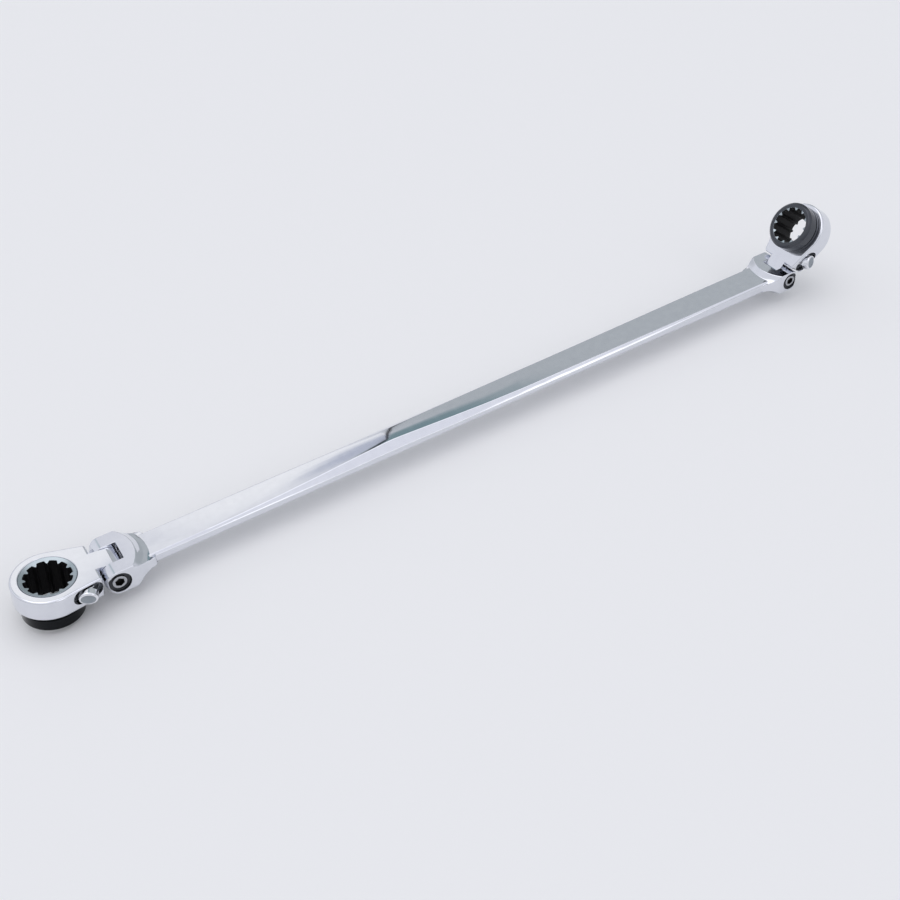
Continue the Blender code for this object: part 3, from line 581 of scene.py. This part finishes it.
def makeHeadForging(end):
    s = headSizes
    slope = neckSlope()
    ring, half, corner = s["ringRadius"], s["half"], s["shoulderCorner"]
    startX = s["ringAt"] - ring * math.sin(slope)
    startY = -ring * math.cos(slope)
    sweep = 180.0 + 2 * math.degrees(slope)
    cornerX = s["shoulderAt"] + corner
    cornerY = neckSide(cornerX) - corner / math.cos(slope)
    turnIn = 90.0 - math.degrees(slope)
    bm = slab((startX, startY), [
        (s["ringAt"], 0.0, sweep, 110),
        (cornerX - corner * math.sin(slope), cornerY + corner * math.cos(slope)),
        (cornerX, cornerY, turnIn, 8),
        (s["shoulderAt"], -cornerY),
        (cornerX, -cornerY, turnIn, 8),
    ], -half, half)
    flat = [e for e in bm.edges if abs(abs(e.verts[0].co.z) - half) < 0.01
            and abs(e.verts[0].co.z - e.verts[1].co.z) < 0.01]
    bevelEdges(bm, flat, s["rim"], 7)
    body = toTool(bm, end + "HeadForging")

    side = slab((0.0, half), [(0.0, 0.0, 180.0, 32), (s["shoulderAt"] + 3.0, -half),
                              (s["shoulderAt"] + 3.0, half)], -s["tongueHalf"], s["tongueHalf"])
    turnBm(side, Matrix.Rotation(quarterTurn, 4, "X"))
    combine(body, [(toTool(side, "tongue"), "UNION")])

    chamfer = s["boreChamfer"]
    bore = lathe([
        (0.0, -half - 1.0), (s["lipRadius"] + chamfer, -half - 1.0),
        (s["lipRadius"] + chamfer, -half), (s["lipRadius"], -half + chamfer),
        (s["lipRadius"], s["lipTop"]), (s["boreRadius"], s["lipTop"]),
        (s["boreRadius"], s["grooveLow"]), (s["grooveRadius"], s["grooveLow"]),
        (s["grooveRadius"], s["grooveHigh"]), (s["boreRadius"], s["grooveHigh"]),
        (s["boreRadius"], half - chamfer), (s["boreRadius"] + chamfer, half),
        (s["boreRadius"] + chamfer, half + 1.0), (0.0, half + 1.0)], 120)
    turnBm(bore, Matrix.Translation((s["ringAt"], 0, 0)))
    far = meshSizes["through"]
    pin = lathe([(0.0, -far), (s["pinHole"], -far), (s["pinHole"], far), (0.0, far)], 40)
    turnBm(pin, Matrix.Rotation(quarterTurn, 4, "X"))
    middle = (s["pocketFrom"] + s["pocketTo"]) / 2
    reach = (s["pocketTo"] - s["pocketFrom"]) / 2 - s["pocketRound"]
    pocket = slab((reach, -s["pocketRound"]), [
        (reach, 0.0, 180.0, 20), (-reach, s["pocketRound"]), (-reach, 0.0, 180.0, 20)],
        0.0, s["pocketReach"])
    turnBm(pocket, Matrix.Rotation(quarterTurn, 4, "X"))
    floorY = -(neckSide(middle) - s["pocketDepth"])
    turnBm(pocket, Matrix.Translation((middle, floorY, s["pocketMiddle"]))
           @ Matrix.Rotation(-slope, 4, "Z"))
    leverX, leverY = leverCentre()
    drum = lathe([(0.0, s["cavityLow"]), (s["leverWell"], s["cavityLow"]),
                  (s["leverWell"], s["cavityHigh"]), (0.0, s["cavityHigh"])], 32)
    turnBm(drum, Matrix.Translation((leverX, leverY, 0.0)))
    body.data.materials.append(finishes["satinChrome"])
    # the pocket and well cutters carry the darkened chrome, painted shade, onto the walls they leave
    hollow = toTool(pocket, "pocket")
    hollow.data.materials.append(finishes["pocketPaintedShade"])
    well = toTool(drum, "drum")
    well.data.materials.append(finishes["pocketPaintedShade"])
    combine(body, [(toTool(bore, "bore"), "DIFFERENCE"), (toTool(pin, "pin"), "DIFFERENCE"),
                   (hollow, "DIFFERENCE"), (well, "DIFFERENCE")])
    softenEdges(body, s["edge"], 3, 30.0)
    return finishPiece(body, headPlace(end), end + "_head", end + "_head_body")


for end in ends:
    makeHeadForging(end)
print("head forgings ready")


# ratchet gear with its socket and collar

gearSizes = {
    "hub": 12.72,
    "hubTop": 2.45,
    "leadIn": 1.0,
    "mouth": 1.0,
    "throat": 9.2,           # where the sloping mouths end inside the socket
    "journal": 13.1,
    "groove": 12.4,
    "collarRadius": 14.4,
    "collarLow": 5.8,
    "collarHigh": 15.1,
    "flange": 1.7,
    "flangeGroove": 0.7,
    "endChamfer": 1.3,
    "teeth": 72,
    "tip": 13.3,
    "root": 12.7,
    "teethLow": -3.5,
    "teethHigh": 2.6,
    "recess": 11.0,
    "lobes": 12,
    "lobeSide": [(9.5, -15.0), (9.62, -13.6), (10.0, -11.9), (10.45, -10.6), (10.85, -9.7),
                 (11.0, -8.4)],    # radius and angle, from a cusp to a recess
    "smooth": 25.0,
}


def makeGear(end):
    g, s = gearSizes, headSizes
    low, top = -s["half"], g["collarHigh"]
    edge, back = g["collarRadius"], g["collarLow"] + g["flange"]
    bm = lathe([
        (0.0, low + g["leadIn"]), (g["throat"], low + g["leadIn"]), (g["recess"] + 0.25, low + 0.5),
        (g["hub"] - 0.3, low + 0.03), (g["hub"] - 0.12, low), (g["hub"], low + 0.12),
        (g["hub"], g["hubTop"]), (g["journal"], g["hubTop"]), (g["journal"], s["grooveLow"]),
        (g["groove"], s["grooveLow"]), (g["groove"], s["grooveHigh"]), (g["journal"], s["grooveHigh"]),
        (g["journal"], g["collarLow"]),
        (edge - 0.25, g["collarLow"]), (edge - 0.07, g["collarLow"] + 0.07),
        (edge, g["collarLow"] + 0.25),
        (edge, back - 0.2), (edge - 0.06, back - 0.06), (edge - 0.25, back), (edge - 0.55, back + 0.05),
        (edge - 0.6, back + 0.15), (edge - 0.6, back + g["flangeGroove"] - 0.1),
        (edge - 0.5, back + g["flangeGroove"]), (edge - 0.2, back + g["flangeGroove"] + 0.05),
        (edge - 0.1, back + g["flangeGroove"] + 0.25), (edge - 0.1, top - g["endChamfer"] - 0.25),
        (edge - 0.2, top - g["endChamfer"]), (edge - g["endChamfer"] + 0.1, top - 0.22),
        (edge - g["endChamfer"] - 0.15, top - 0.06), (edge - g["endChamfer"] - 0.4, top),
        (g["recess"] + 0.9, top), (g["recess"] + 0.05, top - g["mouth"] * 0.31),
        (g["throat"], top - g["mouth"]), (0.0, top - g["mouth"])], 144)
    for face in bm.faces:
        middle = face.calc_center_median()
        radius = math.hypot(middle.x, middle.y)
        atFlushFace = middle.z < low + g["leadIn"] + 0.05
        atMouth = middle.z > top - g["mouth"] - 0.05 and radius < g["recess"] + 0.1
        face.material_index = 1 if atFlushFace or atMouth else 0
    gear = toTool(bm, end + "Gear")
    centre = headPlace(end) @ Matrix.Translation((s["ringAt"], 0, 0))
    axis = Matrix.LocRotScale(centre.to_translation(), centre.to_quaternion(), None)
    # the near collar gets the darkened copy, which is painted shade; the far collar gets the plain dark
    # nickel
    collarLook = finishLooks["collarPaintedShade" if end == "near" else "darkNickel"]
    gear.data.materials.append(newFinish(end + "Collar", collarLook, axis))
    gear.data.materials.append(newFinish(end + "FlushFace", finishLooks["flushNickel"], axis))

    teeth = bmesh.new()
    step = math.pi / g["teeth"]
    drawOutline(teeth, (g["tip"], 0.0), [
        (g["root"] * math.cos(step), g["root"] * math.sin(step)),
        (g["tip"] * math.cos(2 * step), g["tip"] * math.sin(2 * step))])
    bmesh.ops.spin(teeth, geom=list(teeth.verts) + list(teeth.edges), cent=(0, 0, 0), axis=(0, 0, 1),
                   angle=math.tau, steps=g["teeth"], use_duplicate=True)
    bmesh.ops.remove_doubles(teeth, verts=teeth.verts, dist=meshSizes["patternWeld"])
    fillOutline(teeth, g["teethLow"], g["teethHigh"])
    combine(gear, [(toTool(teeth, "teeth"), "UNION")])

    socket = bmesh.new()
    lobe = [(radius * cosine(degrees), radius * math.sin(math.radians(degrees)))
            for radius, degrees in g["lobeSide"]]
    recessTurn = -2 * g["lobeSide"][-1][1]
    drawOutline(socket, lobe[0], lobe[1:] + [(0.0, 0.0, recessTurn, 8)]
                + [(x, -y) for x, y in reversed(lobe[:-1])])
    bmesh.ops.spin(socket, geom=list(socket.verts) + list(socket.edges), cent=(0, 0, 0),
                   axis=(0, 0, 1), angle=math.tau, steps=g["lobes"], use_duplicate=True)
    bmesh.ops.remove_doubles(socket, verts=socket.verts, dist=meshSizes["patternWeld"])
    fillOutline(socket, low - 1.0, top + 1.0)
    cutter = toTool(socket, "socket")
    # the socket's walls get the black finish, painted shade
    cutter.data.materials.append(finishes["holePaintedShade"])
    combine(gear, [(cutter, "DIFFERENCE")])
    return finishPiece(gear, centre, end + "_gear", end + "_ratchet_gear", g["smooth"])


for end in ends:
    makeGear(end)
print("gears ready")


# handle: forged strap and two forks

strapStations = [
    # place along the strap, half width, half thickness, width and drop of the sloping edge, crown
    (-183.0, 8.6, 2.6, 1.1, 0.9, 0.05),
    (-171.0, 8.6, 2.55, 1.1, 0.9, 0.05),
    (-151.0, 8.55, 2.6, 1.3, 1.05, 0.06),
    (-131.0, 8.55, 2.8, 1.45, 1.35, 0.07),
    (-110.0, 8.6, 3.15, 1.95, 1.75, 0.09),
    (-88.0, 8.6, 3.7, 2.8, 2.35, 0.12),
    (-66.0, 8.5, 4.3, 3.7, 2.8, 0.16),
    (-51.0, 8.45, 4.65, 4.2, 3.0, 0.18),
    (-22.0, 8.65, 3.85, 3.25, 2.55, 0.16),
    (2.0, 8.7, 3.25, 2.45, 2.15, 0.13),
    (26.0, 8.7, 2.92, 1.95, 1.85, 0.10),
    (50.0, 8.75, 2.8, 1.8, 1.85, 0.08),
    (102.0, 8.75, 2.8, 1.4, 1.55, 0.06),
    (129.0, 8.7, 2.9, 1.1, 1.25, 0.05),
    (156.0, 8.6, 3.0, 0.95, 0.95, 0.05),
    (184.0, 8.6, 3.0, 0.95, 0.95, 0.05),
]
strapStart, strapEnd = strapStations[0][0], strapStations[-1][0]
strapSizes = {
    "step": 3.5,
    "blend": (-4.0, -2.0, 0.0, 2.0, 4.0),    # each section is the mean of the stations round it
    "sideSwell": 0.1,
    "slopeSwell": 0.06,
    "edge": 0.25,
}
forkSizes = {
    "earRadius": 6.4,
    "halfWidth": 13.3,
    "halfThick": 6.4,
    "earCorner": 4.5,
    "back": -30.0,
    "flare": [(-8.2, 13.3), (-9.4, 13.0), (-10.6, 12.45), (-12.0, 11.75), (-13.6, 11.1),
              (-15.5, 10.5), (-18.0, 10.0), (-21.0, 9.6), (-25.0, 9.2)],    # place, half width
    "crestRadius": 19.6,
    "crestBack": 12.4,
    "crestLead": 0.9,
    "crestSlope": [(0.0, 6.4), (0.7, 5.65), (1.7, 4.45), (2.7, 3.6), (3.9, 3.0), (5.4, 2.65),
                   (8.0, 2.4)],    # outward from the crest, half thickness
    "tongueGap": 0.12,
    "slotBack": 5.9,
    "slotFront": 12.0,
    "pinHole": 3.05,
    "earRecess": 5.2,
    "recessRelief": 0.2,
    "recessLip": 0.25,
    "pinRecess": 1.2,
    "ballBore": 2.2,
    "ballFrom": -16.0,
    "ballTo": -3.0,
}


def stationAt(x):
    places = strapStations
    for left, right in zip(places, places[1:]):
        if x <= right[0]:
            break
    share = (x - left[0]) / (right[0] - left[0])
    return [a + (b - a) * share for a, b in zip(left[1:], right[1:])]


def sectionAt(x):
    # the mean over a short length rounds the kinks between stations
    swell = strapSizes["slopeSwell"]
    spans = [stationAt(min(max(x + shift, strapStart), strapEnd)) for shift in strapSizes["blend"]]
    halfW, halfT, slopeW, slopeD, crown = [sum(span) / len(spans) for span in zip(*spans)]
    flat = halfW - slopeW
    upper = []
    for i in range(9):
        y = flat * (1 - i / 4)
        upper.append((y, halfT + crown * (1 - (y / flat) ** 2)))
    side = [(-halfW + slopeW * 0.5 - swell, halfT - slopeD * 0.5 + swell), (-halfW, halfT - slopeD)]
    quarter = upper[4:] + side
    left = quarter + [(-halfW - strapSizes["sideSwell"], 0.0)] + [(y, -z) for y, z in reversed(quarter)]
    right = [(-y, -z) for y, z in left[1:-1]]
    return left + right


def makeStrap():
    bm = bmesh.new()
    count = round((strapEnd - strapStart) / strapSizes["step"])
    verts = [bm.verts.new((strapStart, y, z)) for y, z in sectionAt(strapStart)]
    edges = [bm.edges.new((a, b)) for a, b in zip(verts, verts[1:] + verts[:1])]
    bmesh.ops.contextual_create(bm, geom=edges)
    for i in range(1, count + 1):
        x = strapStart + (strapEnd - strapStart) * i / count
        grown = bmesh.ops.extrude_edge_only(bm, edges=edges)
        risen = [v for v in grown["geom"] if isinstance(v, bmesh.types.BMVert)]
        matched = []
        for old, (y, z) in zip(verts, sectionAt(x)):
            new = next(e.other_vert(old) for e in old.link_edges if e.other_vert(old) in risen)
            new.co = (x, y, z)
            matched.append(new)
        verts = matched
        edges = [bm.edges.get((a, b)) for a, b in zip(verts, verts[1:] + verts[:1])]
    bmesh.ops.contextual_create(bm, geom=edges)
    bmesh.ops.recalc_face_normals(bm, faces=bm.faces)
    return bm


def makeFork(end):
    f = forkSizes
    ear, half, corner = f["earRadius"], f["halfWidth"], f["earCorner"]
    far = meshSizes["through"]
    tipX, tipY = ear - corner, half - corner
    strokes = [(tipX, tipY, 90.0, 14)] + f["flare"] + [(x, -y) for x, y in reversed(f["flare"])]
    strokes += [(tipX, -half), (tipX, -tipY, 90.0, 14)]
    plan = slab((ear, tipY), strokes, -f["halfThick"], f["halfThick"])
    fork = toTool(plan, end + "Fork")
    side = slab((0.0, -ear), [(0.0, 0.0, 180.0, 40), (f["back"], ear), (f["back"], -ear)], -far, far)
    turnBm(side, Matrix.Rotation(quarterTurn, 4, "X"))
    crestR, rise = f["crestRadius"], f["halfThick"] + 1.0
    lead = crestR - f["crestLead"]
    slope = [(crestR + outward, z) for outward, z in f["crestSlope"]]
    crest = lathe([(0.0, -rise), (lead, -rise)] + [(r, -z) for r, z in slope]
                  + slope[::-1] + [(lead, rise), (0.0, rise)], 160)
    turnBm(crest, Matrix.Translation((crestR - f["crestBack"], 0, 0)))
    combine(fork, [(toTool(side, "side"), "INTERSECT"), (toTool(crest, "crest"), "INTERSECT")])
    fork.data.transform(forkPlace(end))
    return fork


def forkTools(end):
    f = forkSizes
    far = meshSizes["through"]
    wide = headSizes["tongueHalf"] + f["tongueGap"]
    slot = slab((-f["slotBack"], -wide), [(f["slotFront"], -wide), (f["slotFront"], wide),
                                          (-f["slotBack"], wide)], -far, far)
    half, face, recess = f["halfWidth"], f["halfWidth"] - f["pinRecess"], f["earRecess"]
    lip, relief = f["recessLip"], f["recessRelief"]
    hole = lathe([(0.0, -far), (recess + lip, -far), (recess + lip, -half), (recess, lip - half),
                  (recess, relief - face), (recess - relief, -face), (f["pinHole"], -face),
                  (f["pinHole"], face), (recess - relief, face), (recess, face + relief),
                  (recess, half - lip), (recess + lip, half), (recess + lip, far), (0.0, far)], 72)
    turnBm(hole, Matrix.Rotation(quarterTurn, 4, "X"))
    ball = lathe([(0.0, f["ballFrom"]), (f["ballBore"], f["ballFrom"]), (f["ballBore"], f["ballTo"]),
                  (0.0, f["ballTo"])], 32)
    turnBm(ball, Matrix.Rotation(quarterTurn, 4, "Y"))
    tools = []
    for name, bm in (("slot", slot), ("hole", hole), ("ball", ball)):
        tool = toTool(bm, end + name)
        # the hole cutter leaves near-black walls, painted shade in the ear recess
        tool.data.materials.append(finishes["recessPaintedShade" if name == "hole" else "satinChrome"])
        tool.data.transform(forkPlace(end))
        tools.append((tool, "DIFFERENCE"))
    return tools


def makeHandle():
    nearPivot = Vector(joints["near_flex"]["pos_m"])
    farPivot = Vector(joints["far_flex"]["pos_m"])
    handle = toTool(makeStrap(), "handleForging")
    handle.data.transform(Matrix.Translation((nearPivot + farPivot) / 2) @ Matrix.Scale(mm, 4))
    combine(handle, [(makeFork("near"), "UNION"), (makeFork("far"), "UNION")])
    handle.data.materials.clear()
    handle.data.materials.append(finishes["satinChrome"])
    combine(handle, forkTools("near") + forkTools("far"))
    handle.data.transform(Matrix.Scale(1 / mm, 4))
    softenEdges(handle, strapSizes["edge"], 3, 22.0, False)
    return finishPiece(handle, Matrix.Scale(mm, 4), "handle", "handle")


makeHandle()
print("handle ready")


# reversing lever: drum, stem and oval thumb button with a shallow dish in its end

leverSizes = {
    "tabAngle": -69.5,
    "from": 2.6,
    "reach": 6.4,
    "half": 4.4,
    "height": 3.5,
    "middle": -0.8,
    "aside": 0.9,
    "round": 0.85,
    "dishEdge": 0.2,
    "dish": 0.2,
    "dishRings": ((0.6, 1.0), (0.8, 0.4)),    # width of each ring, share of the dish's depth
    "stem": 2.0,
    "stemFrom": 0.9,
    "stemInto": 0.5,
    "stemRoom": 0.4,
    "drum": 1.8,
    "drumRoom": 0.25,
    "drumEdge": 0.2,
}


def makeLever(end):
    v, s = leverSizes, headSizes
    tab = slab((v["height"], 0.0), [(0.0, 0.0, 180.0, 28), (0.0, 0.0, 180.0, 28)], v["from"], v["reach"])
    bmesh.ops.scale(tab, vec=(v["half"] / v["height"], 1.0, 1.0), verts=tab.verts)
    outer = [e for e in tab.edges if min(e.verts[0].co.z, e.verts[1].co.z) > v["reach"] - 0.01]
    bevelEdges(tab, outer, v["round"], 6)
    cap = [f for f in tab.faces if f.calc_center_median().z > v["reach"] - 0.001]
    bmesh.ops.inset_region(tab, faces=cap, thickness=v["dishEdge"], depth=0.0)
    # the end pad's faces get the darker finish, a painted reflection
    pad = list(cap)
    for width, share in v["dishRings"]:
        pad += bmesh.ops.inset_region(tab, faces=cap, thickness=width, depth=-v["dish"] * share)["faces"]
    for face in pad:
        face.material_index = 1
    turnBm(tab, Matrix(((0, 0, 1, 0), (1, 0, 0, 0), (0, 1, 0, 0), (0, 0, 0, 1))))
    turnBm(tab, Matrix.Translation((0, v["aside"], v["middle"])))
    low, high, edge = s["cavityLow"] + v["drumRoom"], s["cavityHigh"] - v["drumRoom"], v["drumEdge"]
    drum = lathe([(0.0, low), (v["drum"] - edge, low), (v["drum"], low + edge), (v["drum"], high - edge),
                  (v["drum"] - edge, high), (0.0, high)], 40)
    stemEnd = v["from"] + v["stemInto"]
    stem = slab((v["stemFrom"], -v["stem"]), [(stemEnd, -v["stem"]), (stemEnd, v["stem"]),
                                              (v["stemFrom"], v["stem"])],
                s["cavityLow"] + v["stemRoom"], s["cavityHigh"] - v["stemRoom"])
    lever = toTool(tab, end + "Lever")
    lever.data.materials.append(finishes["leverChrome"])
    lever.data.materials.append(finishes["padPaintedReflection"])
    combine(lever, [(toTool(drum, "drum"), "UNION"), (toTool(stem, "stem"), "UNION")])
    lever.data.transform(Matrix.Rotation(math.radians(v["tabAngle"]), 4, "Z"))
    leverX, leverY = leverCentre()
    place = headPlace(end) @ Matrix.Translation((leverX, leverY, 0))
    return finishPiece(lever, place, end + "_lever", end + "_reversing_lever")


for end in ends:
    makeLever(end)
print("levers ready")


# pivot screw: button head with a hexagon socket, in the recess of one ear

screwSizes = {"shank": 2.75, "shankEnd": 0.6, "head": 3.5, "high": 0.9, "round": 0.6, "hex": 2.35,
              "hexDepth": 1.8}


def makeScrew(end):
    w, f = screwSizes, forkSizes
    face = f["halfWidth"] - f["pinRecess"]
    top = face + w["high"]
    crown = [(w["head"], face + 0.1), (w["head"], top - w["round"]),
             (w["head"] - 0.07, top - w["round"] + 0.2), (w["head"] - 0.22, top - 0.14),
             (w["head"] - w["round"], top), (w["hex"] + 0.2, top), (w["hex"], top - 0.12),
             (0.0, top - 0.12)]
    body = lathe([(0.0, -face - 0.02), (w["shank"] - w["shankEnd"], -face),
                  (w["shank"] - w["shankEnd"] * 0.25, -face + w["shankEnd"] * 0.5),
                  (w["shank"], -face + w["shankEnd"]), (w["shank"], face + 0.1)] + crown, 64)
    screw = toTool(body, end + "PivotScrew")
    axis = forkPlace(end) @ Matrix.Rotation(quarterTurn, 4, "X")
    axis = Matrix.LocRotScale(axis.to_translation(), axis.to_quaternion(), None)
    screw.data.materials.append(newFinish(end + "ScrewSteel", finishLooks["screwSteel"], axis))
    hexagon = bmesh.new()
    bmesh.ops.create_cone(hexagon, cap_ends=True, segments=6, radius1=w["hex"], radius2=w["hex"],
                          depth=w["hexDepth"] + 2.0)
    turnBm(hexagon, Matrix.Translation((0, 0, top - w["hexDepth"] / 2 + 1.0)))
    key = toTool(hexagon, "hexagon")
    # the hexagon's walls get the black finish, painted shade
    key.data.materials.append(finishes["holePaintedShade"])
    combine(screw, [(key, "DIFFERENCE")])
    screw.data.transform(Matrix.Rotation(quarterTurn, 4, "X"))
    return finishPiece(screw, forkPlace(end), "handle", end + "_pivot_screw")


for end in ends:
    makeScrew(end)
print("screws ready")
